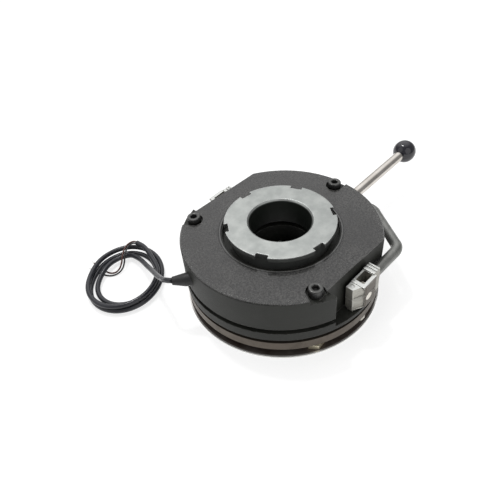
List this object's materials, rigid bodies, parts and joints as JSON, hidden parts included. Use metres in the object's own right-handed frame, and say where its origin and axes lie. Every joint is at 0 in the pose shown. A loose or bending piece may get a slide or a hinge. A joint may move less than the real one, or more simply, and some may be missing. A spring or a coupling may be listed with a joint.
{
  "type": "spring applied brake",
  "caption": "Round spring applied friction brake with a castellated torque ring, fixing screws, a hand release yoke with lever and ball, and a coiled cable.",
  "frame": {"origin": "centre of the hub's bore in the plane of the mounting side", "axes": "+Z along the shaft from the mounting side to the adjuster ring, +X along the release lever"},
  "size_m": [0.3874, 0.2746, 0.0807],
  "materials": {
    "housing_paint": "satin",
    "copper_wire": "satin",
    "resin": "satin",
    "ring_zinc": "satin",
    "pin_steel": "satin",
    "spring_steel": "satin",
    "armature_steel": "satin",
    "plate_stainless": "polished",
    "carrier_aluminium": "satin",
    "lining": "matte",
    "hub_steel": "satin",
    "sleeve_zinc": "satin",
    "screw_black": "satin",
    "yoke_casting": "cast",
    "trunnion_steel": "polished",
    "bolt_zinc": "satin",
    "lever_steel": "polished",
    "ball_plastic": "gloss",
    "gland_rubber": "satin",
    "cable_sheath": "satin",
    "core_brown_sheath": "satin",
    "core_black_sheath": "satin"
  },
  "bodies": {
    "stator": {"magnet_housing": "housing_paint", "coil_winding": "copper_wire", "coil_resin": "resin", "friction_plate": "plate_stainless", "sleeve_bolts": "sleeve_zinc", "cap_screws": "screw_black", "pressure_springs": "spring_steel", "release_springs": "spring_steel", "cable_gland": "gland_rubber", "cable_lead": "cable_sheath", "cable_coil": "cable_sheath", "core_brown": "core_brown_sheath", "core_black": "core_black_sheath"},
    "armature": {"armature_plate": "armature_steel", "release_bolts": "bolt_zinc", "trunnion_pins": "trunnion_steel", "lock_nuts": "bolt_zinc"},
    "release": {"release_yoke": "yoke_casting", "lever_rod": "lever_steel", "ball_knob": "ball_plastic"},
    "hub": {"splined_hub": "hub_steel"},
    "rotor": {"rotor_carrier": "carrier_aluminium", "upper_lining": "lining", "lower_lining": "lining"},
    "thrust": {"thrust_pins": "pin_steel"},
    "adjuster": {"adjuster_ring": "ring_zinc"}
  },
  "joints": [
    {"name": "armature_lift", "type": "slide", "parent": "stator", "child": "armature", "axis": [0, 0, 1], "range_m": [0, 0.00095], "deforming": ["pressure_springs", "release_springs"]},
    {"name": "release_lever", "type": "hinge", "parent": "armature", "child": "release", "pos_m": [0.0065, 0, 0.041], "axis": [0, -1, 0], "range_deg": [0, 5], "stiffness_Nm_per_rad": 0.5, "springref_deg": -28.65},
    {"name": "hub_spin", "type": "hinge", "parent": "stator", "child": "hub", "pos_m": [0, 0, 0], "axis": [0, 0, 1], "continuous": true},
    {"name": "rotor_float", "type": "slide", "parent": "hub", "child": "rotor", "axis": [0, 0, 1], "range_m": [0, 0.000475]},
    {"name": "thrust_slide", "type": "slide", "parent": "stator", "child": "thrust", "axis": [0, 0, 1], "range_m": [-0.0045, 0.0045], "deforming": ["pressure_springs"]},
    {"name": "adjuster_turn", "type": "hinge", "parent": "thrust", "child": "adjuster", "pos_m": [0, 0, 0.07], "axis": [0, 0, 1], "range_deg": [-1080, 1080]}
  ],
  "couplings": [
    {"joint": "armature_lift", "follows": "release_lever", "m_per_rad": 0.010886},
    {"joint": "rotor_float", "follows": "release_lever", "m_per_rad": 0.005443},
    {"joint": "thrust_slide", "follows": "adjuster_turn", "m_per_rad": 0.00023873}
  ]
}
